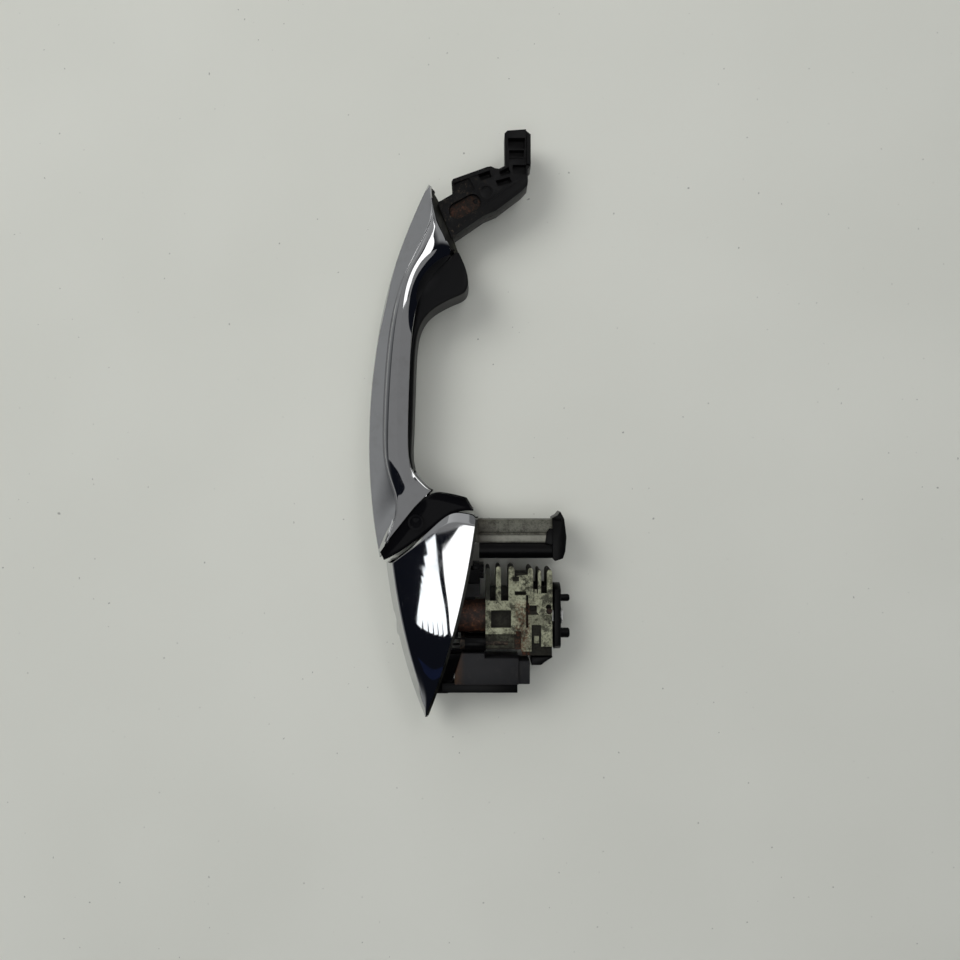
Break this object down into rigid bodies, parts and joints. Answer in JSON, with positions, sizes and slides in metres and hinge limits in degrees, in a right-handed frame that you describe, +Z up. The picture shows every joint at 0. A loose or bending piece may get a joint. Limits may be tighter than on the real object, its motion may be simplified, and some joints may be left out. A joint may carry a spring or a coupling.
{
  "type": "car door handle",
  "caption": "Outside car door handle with a chrome swinging grip, hooked front arm, pull arm, and a rear cap over a key cylinder in a cast housing.",
  "frame": {"origin": "on the upright line that the grip swings about, in the knuckle of the front hook arm, at mid height", "axes": "+X towards the front of the car along the handle, +Y outboard away from the door, +Z up"},
  "size_m": [0.2696, 0.0923, 0.034],
  "materials": {
    "chrome": "bright chrome plating",
    "lining_black": "satin black moulding, finely grained",
    "arm_black": "glass-filled black moulding",
    "moulding_black": "plain black moulding",
    "gloss_black": "polished black",
    "seal_rubber": "dull black rubber",
    "zinc_casting": "bare die-cast zinc, dull and stained",
    "rusty_steel": "steel with surface rust",
    "steel": "plain steel",
    "brass": "plain brass"
  },
  "bodies": {
    "lock_carrier": {"cap_shell": "chrome", "cap_carrier": "moulding_black", "cap_gasket": "seal_rubber", "cap_clips": "steel", "lock_housing": "zinc_casting", "lock_barrel": "rusty_steel", "key_bezel": "chrome", "barrel_seal": "seal_rubber", "housing_screws": "steel", "roll_pin": "rusty_steel", "return_spring": "steel", "guide_block": "moulding_black", "drive_cover": "moulding_black"},
    "key_cylinder": {"key_plug": "steel", "plug_wafers": "brass", "wafer_springs": "steel", "coupler": "moulding_black", "coupler_clip": "steel"},
    "shutter": {"dust_shutter": "steel"},
    "grip": {"grip_shell": "chrome", "grip_core": "arm_black", "grip_lining": "lining_black", "front_seat": "seal_rubber", "end_piece": "gloss_black", "arm_insert": "rusty_steel", "pull_arm": "zinc_casting", "pull_arm_cover": "moulding_black", "pull_arm_cap": "moulding_black", "arm_screw": "steel", "screw_plug": "gloss_black"}
  },
  "joints": [
    {"name": "grip_pull", "type": "hinge", "parent": "lock_carrier", "child": "grip", "pos_m": [0, 0, 0], "axis": [0, 0, -1], "range_deg": [0, 8]},
    {"name": "key_turn", "type": "hinge", "parent": "lock_carrier", "child": "key_cylinder", "pos_m": [-0.2014, 0, 0], "axis": [0, 1, 0], "range_deg": [-75, 75], "stiffness_Nm_per_rad": 0.02},
    {"name": "shutter_tilt", "type": "hinge", "parent": "key_cylinder", "child": "shutter", "pos_m": [-0.19965, 0.052, 0], "axis": [0, 0, 1], "range_deg": [0, 75], "stiffness_Nm_per_rad": 0.00005}
  ]
}
